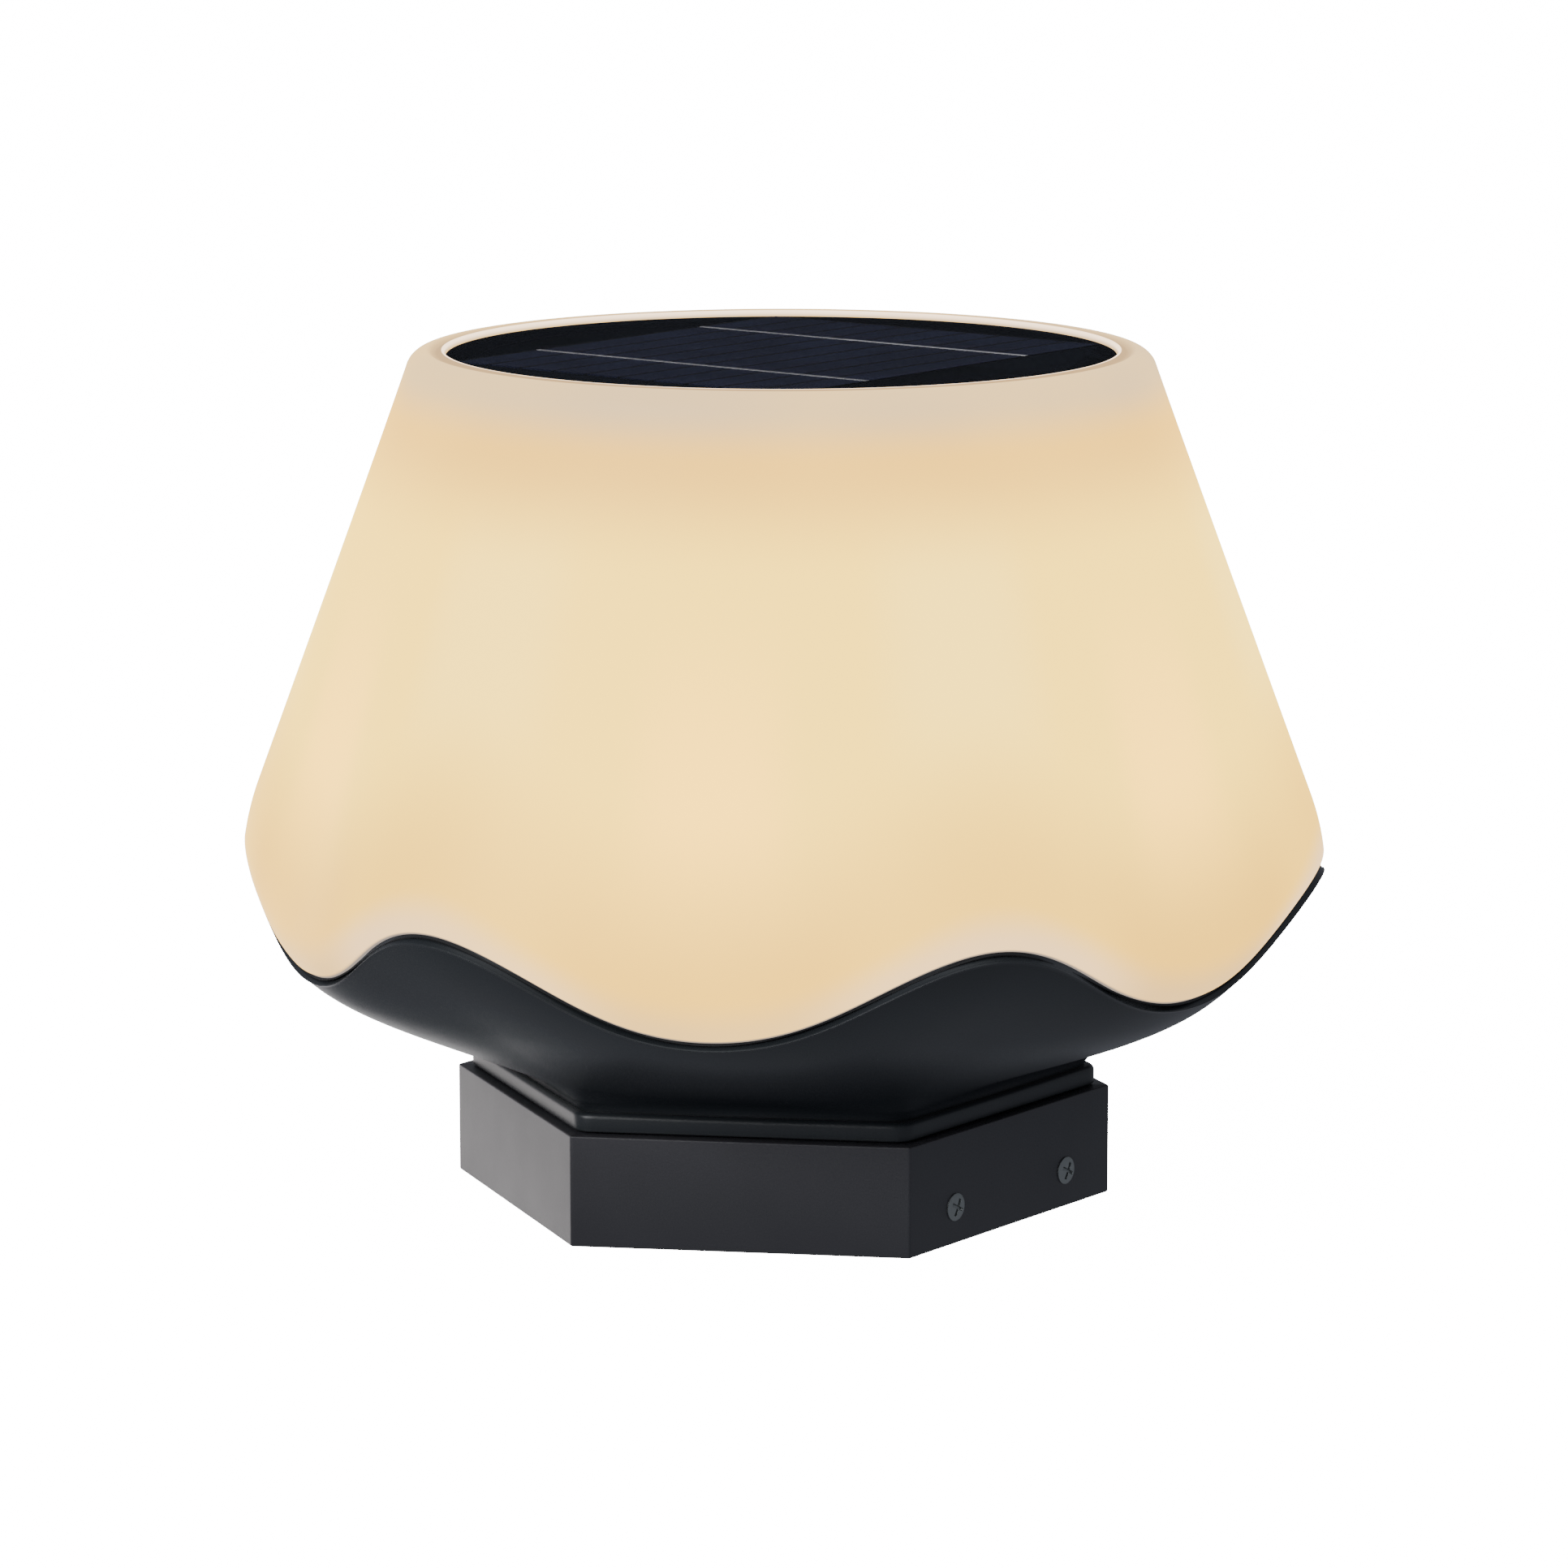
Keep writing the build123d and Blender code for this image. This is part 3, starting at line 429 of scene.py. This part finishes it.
def make_sweep():
    """Paper sweep: a level disc that turns up in a quarter arc and runs on as an upright wall."""
    rings = [(SWEEP_FLOOR_R + SWEEP_BEND_R * np.sin(t), SWEEP_BEND_R * (1 - np.cos(t)))
             for t in SWEEP_BEND]
    rings.append((SWEEP_FLOOR_R + SWEEP_BEND_R, SWEEP_TOP_Z))
    poles = np.array([[0.0, 0.0, 0.0], [0.0, 0.0, SWEEP_TOP_Z]])
    return place("paper_sweep", [turned(around(SWEEP_COLUMNS), rings)], loop=False, poles=[poles])


# Shader values
class Signal:
    """A shader value: arithmetic on it adds Math nodes to its finish."""

    def __init__(self, finish, socket):
        self.finish = finish
        self.socket = socket

    def math(self, operation, first, second):
        return self.finish.node("ShaderNodeMath", {"operation": operation}, [first, second])

    def __add__(self, other):
        return self.math("ADD", self, other)

    def __radd__(self, other):
        return self.math("ADD", other, self)

    def __sub__(self, other):
        return self.math("SUBTRACT", self, other)

    def __rsub__(self, other):
        return self.math("SUBTRACT", other, self)

    def __mul__(self, other):
        return self.math("MULTIPLY", self, other)

    def __rmul__(self, other):
        return self.math("MULTIPLY", other, self)

    def __truediv__(self, other):
        return self.math("DIVIDE", self, other)

    def __rtruediv__(self, other):
        return self.math("DIVIDE", other, self)


class Finish:
    """A material with one Principled shader, whose constants are set on its sockets."""

    def __init__(self, name, **constants):
        self.material = bpy.data.materials.new(name)
        self.material.use_nodes = True
        self.tree = self.material.node_tree
        self.shader = self.tree.nodes["Principled BSDF"]
        for socket, value in constants.items():
            self.shader.inputs[socket.replace("_", " ")].default_value = value

    def node(self, kind, settings, values, output=0):
        """Node of any kind: settings first, then a value or link for each socket, by order or by name."""
        made = self.tree.nodes.new(kind)
        for name, value in settings.items():
            setattr(made, name, value)
        pairs = values.items() if isinstance(values, dict) else enumerate(values)
        for key, value in pairs:
            if isinstance(value, Signal):
                self.tree.links.new(value.socket, made.inputs[key])
            else:
                made.inputs[key].default_value = value
        return Signal(self, made.outputs[output])

    def feed(self, socket, value):
        """Link from a value to one of the shader's sockets."""
        self.tree.links.new(value.socket, self.shader.inputs[socket])

    def spot(self):
        """Object coordinates in metres."""
        return self.node("ShaderNodeTexCoord", {}, {}, "Object")

    def axis(self, letter):
        """One of the object coordinates in metres."""
        return self.node("ShaderNodeSeparateXYZ", {}, [self.spot()], letter)

    def kept(self, name):
        """Value that keep_values() put at the points of a piece."""
        return self.node("ShaderNodeAttribute", {"attribute_name": name}, {}, "Fac")

    def grain(self, scale, detail=3.0):
        """Noise between 0 and 1, with its scale in patches to the metre."""
        sockets = {"Vector": self.spot(), "Scale": scale, "Detail": detail}
        return self.node("ShaderNodeTexNoise", {}, sockets, "Fac")

    def step(self, value, low, high):
        """0 below low, 1 above high, and a smooth step between."""
        settings = {"interpolation_type": "SMOOTHSTEP"}
        sockets = {"Value": value, "From Min": low, "From Max": high, "To Min": 0.0, "To Max": 1.0}
        return self.node("ShaderNodeMapRange", settings, sockets, "Result")

    def band(self, value, low, full, ease, high):
        """0 below low and above high, 1 from full to ease, and a smooth step on each side."""
        return self.step(value, low, full) * (1 - self.step(value, ease, high))

    def repeat(self, value, pitch):
        """0 to 1 over each pitch: the fraction of the value over the pitch."""
        return self.node("ShaderNodeMath", {"operation": "FRACT"}, [value / pitch])

    def mix(self, share, first, second):
        """Colour between two colours by a share, on the sockets that a Mix node has for colours."""
        share_socket, first_socket, second_socket, result = 0, 6, 7, 2
        sockets = {share_socket: share, first_socket: first, second_socket: second}
        return self.node("ShaderNodeMix", {"data_type": "RGBA"}, sockets, result)

    def bump(self, height, distance, strength):
        """Relief of a distance in metres, fed to the shader's normal."""
        sockets = {"Height": height, "Distance": distance, "Strength": strength}
        self.feed("Normal", self.node("ShaderNodeBump", {}, sockets, "Normal"))


# Colours
def colour(red, green, blue):
    """Linear colour from 0 to 255 screen values, by the usual curve between the two."""
    screen = np.array([red, green, blue]) / 255
    linear = np.where(screen <= 0.04045, screen / 12.92, ((screen + 0.055) / 1.055) ** 2.4)
    return (*linear.tolist(), 1.0)


def lit(red, green, blue):
    """Emission colour that gives off this light at the shade's strength."""
    return (red / GLOW, green / GLOW, blue / GLOW, 1.0)


def scaled(tint, share):
    """Darker or lighter colour: each part times a share."""
    return tuple(share * part for part in tint[:3]) + (1.0,)


# Finishes
def glowing_opal():
    """Opal plastic lit from inside, its glow with painted light and shade in the emission colour: cream,
    with warm patches, mid-petal as painted pools of inner light and elsewhere at random, milky streaks up
    the spines as painted highlights, tan below the top and above the rim and a paler, dimmer glow along the
    edges as painted shade, and a painted highlight on the lip with painted shade in the dip round the
    panel.
    Heights, gaps and radii are in metres, and petal goes from -1 at a spine to 1 at the middle of a petal."""
    finish = Finish("glowing_opal", Base_Color=(0.03, 0.028, 0.023, 1.0), Emission_Strength=GLOW,
                    Specular_IOR_Level=0.08)
    gap, petal = finish.kept("rim_gap"), finish.kept("petal")
    across, along, height = finish.axis("X"), finish.axis("Y"), finish.axis("Z")
    radius = finish.node("ShaderNodeMath", {"operation": "SQRT"}, [across * across + along * along])
    # Glow colours: cream and peach are the glow itself; the milky one and the lip one are painted
    # highlights, and the tan, shoulder, edge, under-edge and dip ones are painted shade.
    cream, peach, painted_sheen = lit(3.95, 2.48, 0.27), lit(4.6, 2.64, 0.3), lit(3.95, 2.75, 0.58)
    top_painted_shade, low_painted_shade = lit(2.75, 1.5, 0.22), lit(2.65, 1.46, 0.18)
    shoulder, petal_edge_shade, valley_edge_shade = lit(1.8, 1.22, 0.61), lit(2.0, 1.22, 0.43), lit(2.5, 1.6, 0.75)
    dip, lip, under_edge_shade = lit(1.1, 0.68, 0.3), lit(3.7, 2.7, 1.8), lit(0.5, 0.42, 0.36)
    # Painted pool of inner light: warmer glow at the middle of each petal, partway up.
    painted_glow_pool = finish.step(petal, 0.35, 1.0) * finish.band(height, 0.075, 0.125, 0.13, 0.185)
    body = finish.mix(painted_glow_pool, cream, peach)
    # Painted highlight: milky streaks up the spines.
    streak = (1 - finish.step(petal, -1.0, -0.2)) * finish.band(height, 0.12, 0.16, 0.175, 0.215)
    body = finish.mix(streak * 0.45, body, painted_sheen)
    # Painted shade: a tan, dimmer glow just above the rim, strongest under the petals.
    low_shade_share = finish.step(petal, -0.6, 0.4) * 0.25 + 0.75
    body = finish.mix((1 - finish.step(gap, 0.012, 0.06)) * low_shade_share, body, low_painted_shade)
    # Painted shade: a tan band below the top and a dimmer shoulder, where less inner light reaches.
    body = finish.mix(finish.step(height, 0.183, 0.213), body, top_painted_shade)
    body = finish.mix(finish.step(height, 0.212, 0.226), body, shoulder)
    # Painted shade: a paler, dimmer glow along the wavy edge.
    edge = finish.mix(finish.step(petal, -0.5, 0.8), valley_edge_shade, petal_edge_shade)
    body = finish.mix(1 - finish.step(gap, 0.002, 0.013), body, edge)
    cloud = finish.step(finish.grain(9.0, detail=2.0), 0.35, 0.75)
    body = finish.mix(cloud * 0.2, body, peach)
    # Painted shade: a dim neutral glow on the turned-in edge.
    body = finish.mix(1 - finish.step(gap, 0.0003, 0.001), body, under_edge_shade)
    # Painted shade in the dip round the panel, and a painted highlight on the lip.
    on_top = finish.step(height, 0.2282, 0.2294)
    body = finish.mix(on_top * (1 - finish.step(radius, 0.0925, 0.0955)), body, dip)
    body = finish.mix(on_top * (1 - finish.step(radius, 0.091, 0.0912)), body, lip)
    finish.feed("Emission Color", body)
    finish.feed("Roughness", finish.grain(60.0) * 0.12 + 0.36)
    return finish.material


def powder_coat(name, tint, rough, gloss=0.5):
    """Black powder coat: fine orange peel in the bump, a slow change of gloss, faint dust in the colour."""
    finish = Finish(name, Specular_IOR_Level=gloss)
    dust = finish.step(finish.grain(14.0), 0.3, 0.75)
    finish.feed("Base Color", finish.mix(dust, tint, scaled(tint, 1.35)))
    finish.feed("Roughness", finish.grain(35.0) * 0.1 + rough)
    finish.bump(finish.grain(2200.0, detail=2.0), distance=0.00004, strength=0.5)
    return finish.material


def cell_silicon():
    """Blue-black silicon with fine pale fingers across each strip, and dark between the strips."""
    finish = Finish("cell_silicon", Specular_IOR_Level=0.0)
    finger = finish.band(finish.repeat(finish.axis("Y"), FINGER_PITCH), 0.72, 0.86, 0.88, 1.0)
    strip = finish.band(finish.repeat(finish.axis("X"), STRIP_PITCH), 0.03, 0.08, 0.92, 0.97)
    cloud = finish.step(finish.grain(40.0), 0.35, 0.7)
    ground = finish.mix(cloud, colour(23, 25, 44), colour(31, 34, 56))
    lined = finish.mix(finger * 0.5, ground, colour(60, 64, 90))
    finish.feed("Base Color", finish.mix(strip, colour(13, 15, 22), lined))
    finish.feed("Roughness", finish.grain(90.0) * 0.15 + 0.3)
    return finish.material


def clear_cover():
    """Clear panel cover: a thin dark gloss that lets most of what is under it through."""
    finish = Finish("clear_cover", Base_Color=colour(14, 16, 22), Alpha=0.06, Specular_IOR_Level=0.2)
    finish.feed("Roughness", finish.grain(30.0) * 0.08 + 0.1)
    return finish.material


def metal(name, tint, rough, scratch):
    """Bare or plated metal with fine streaks in its colour, gloss and bump."""
    finish = Finish(name, Metallic=1.0)
    streak = finish.grain(scratch, detail=6.0)
    finish.feed("Base Color", finish.mix(streak, scaled(tint, 0.72), tint))
    finish.feed("Roughness", streak * 0.2 + rough)
    finish.bump(streak, distance=0.00002, strength=0.4)
    return finish.material


def moulded(name, tint, rough, glow=0.0, gloss=0.5):
    """Moulded plastic or rubber with a fine texture, which may glow in its own colour."""
    finish = Finish(name, Emission_Strength=glow, Specular_IOR_Level=gloss)
    if glow:
        finish.shader.inputs["Emission Color"].default_value = tint
    finish.feed("Base Color", finish.mix(finish.grain(30.0), scaled(tint, 0.8), tint))
    finish.feed("Roughness", finish.grain(120.0) * 0.12 + rough)
    finish.bump(finish.grain(1500.0, detail=2.0), distance=0.00003, strength=0.4)
    return finish.material


def circuit_board():
    """Green solder mask with paler tracks in slanting bands."""
    finish = Finish("circuit_board")
    slant = finish.axis("X") + finish.axis("Y")
    track = finish.band(finish.repeat(slant, TRACK_PITCH), 0.55, 0.6, 0.75, 0.8)
    finish.feed("Base Color", finish.mix(track * 0.6, colour(22, 82, 48), colour(46, 120, 70)))
    finish.feed("Roughness", finish.grain(80.0) * 0.15 + 0.35)
    return finish.material


# Pieces that replace their solids
shade = make_shade()
dress(shade, "lamp", "shade", glowing_opal())
shade.visible_diffuse = False
shade.visible_glossy = False
cup_coat = powder_coat("cup_coat", (0.014, 0.0165, 0.019, 1.0), rough=0.34, gloss=0.43)
dress(make_cup(), "lamp", "petal_cup", cup_coat)
skirt_coat = powder_coat("skirt_coat", (0.027, 0.0265, 0.0305, 1.0), rough=0.38)
dress(make_skirt(), "lamp", "base_skirt", skirt_coat)
dark_screw = metal("dark_screw", (0.33, 0.35, 0.345, 1.0), rough=0.42, scratch=300.0)
dress(make_side_screws(), "lamp", "side_screws", dark_screw)

# Finishes of the solids that stay
rubber = moulded("black_rubber", (0.010, 0.010, 0.011, 1.0), rough=0.6)
steel = metal("bright_steel", (0.5, 0.5, 0.5, 1.0), rough=0.3, scratch=250.0)
zinc = metal("zinc_bracket", (0.55, 0.55, 0.53, 1.0), rough=0.35, scratch=60.0)
white = moulded("white_tray", (0.78, 0.77, 0.74, 1.0), rough=0.45)
black = moulded("black_moulding", (0.02, 0.02, 0.022, 1.0), rough=0.45)
chip = moulded("yellow_chip", (0.9, 0.74, 0.28, 1.0), rough=0.3, glow=2.0)
sleeve = moulded("cell_sleeve", (0.03, 0.15, 0.10, 1.0), rough=0.3)
brass = metal("plated_brass", (0.58, 0.47, 0.22, 1.0), rough=0.28, scratch=200.0)
sheath = moulded("lead_sheath", (0.016, 0.016, 0.016, 1.0), rough=0.5)
button = moulded("grey_button", (0.2, 0.2, 0.2, 1.0), rough=0.5)
backboard = moulded("panel_board", (0.0095, 0.011, 0.0165, 1.0), rough=0.5, gloss=0.0)
ribbon = metal("tinned_ribbon", (0.9, 0.89, 0.88, 1.0), rough=0.35, scratch=400.0)
wears = {
    rubber: ["foot_gasket", "rim_seal", "panel_gasket", "lead_grommet", "switch_washer"],
    steel: ["skirt_screws", "shade_screws", "tray_screws", "led_board_screws", "holder_screws",
            "board_screws"],
    zinc: ["mounting_bracket"],
    white: ["inner_tray", "board_standoffs"],
    black: ["battery_holder", "battery_strap", "board_components", "switch_body", "junction_box"],
    circuit_board(): ["led_board", "control_board"],
    chip: ["led_chips"],
    sleeve: ["battery_cells"],
    brass: ["battery_contacts", "switch_nut"],
    sheath: ["panel_lead", "led_leads", "battery_lead", "switch_lead"],
    button: ["switch_button"],
    backboard: ["panel_backboard"],
    cell_silicon(): ["solar_cells"],
    ribbon: ["busbar_ribbons"],
    clear_cover(): ["panel_cover"],
}
for finish, nodes in wears.items():
    for node in nodes:
        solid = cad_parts[node]
        solid.data.materials.clear()
        solid.data.materials.append(finish)

# Floor and daylight
sweep = make_sweep()
paper = Finish("white_paper", Base_Color=(0.8, 0.8, 0.8, 1.0), Emission_Color=(1.0, 1.0, 1.0, 1.0),
               Emission_Strength=16.0, Roughness=0.9, Specular_IOR_Level=0.0)
sweep.data.materials.append(paper.material)
sweep.visible_diffuse = False
sweep.visible_glossy = False
sweep.visible_shadow = False

world = bpy.data.worlds.new("studio")
world.use_nodes = True
daylight = world.node_tree.nodes["Background"]
daylight.inputs["Color"].default_value = (0.93, 0.97, 1.1, 1.0)
daylight.inputs["Strength"].default_value = 0.3
bpy.context.scene.world = world


# Lights
def softbox(name, at, aim, size, power, tint=(1.0, 1.0, 1.0)):
    """Rectangular soft light at a place, turned to an aim, both in metres. Its tilt is the angle from
    straight down to the aim, and its turn is the angle from +Y."""
    light = bpy.data.lights.new(name, "AREA")
    light.shape = "RECTANGLE"
    light.size, light.size_y = size
    light.energy = power
    light.color = tint
    lamp = bpy.data.objects.new(name, light)
    x, y, z = np.array(aim) - np.array(at)
    lamp.location = at
    lamp.rotation_euler = (np.arctan2(np.hypot(x, y), -z), 0, np.arctan2(-x, y))
    lamp.visible_camera = False
    bpy.context.scene.collection.objects.link(lamp)


softbox("left_softbox", at=(-1.09, 0.15, -0.2), aim=(0, 0, 0.03), size=(0.9, 0.6), power=3.6,
        tint=(1.0, 0.95, 0.93))
softbox("left_bounce", at=(-0.72, 0.7, -0.42), aim=(0, 0, 0.05), size=(0.5, 0.4), power=1.2,
        tint=(1.0, 0.97, 0.95))
softbox("front_softbox", at=(-0.1, -1.4, 0.68), aim=(0, 0, 0.03), size=(0.9, 0.6), power=15)
softbox("top_softbox", at=(0.2, -0.3, 1.6), aim=(0, 0, 0.1), size=(1.2, 1.2), power=4)

# Camera at the photograph's angle
camera_data = bpy.data.cameras.new("photo_camera")
camera_data.sensor_width = SENSOR_W
camera_data.lens = LENS
camera = bpy.data.objects.new("photo_camera", camera_data)
camera.location = CAMERA_AT
camera.rotation_euler = (radians(90 - CAMERA_DIP_DEGREES), 0, radians(CAMERA_TURN_DEGREES))
bpy.context.scene.collection.objects.link(camera)
bpy.context.scene.camera = camera
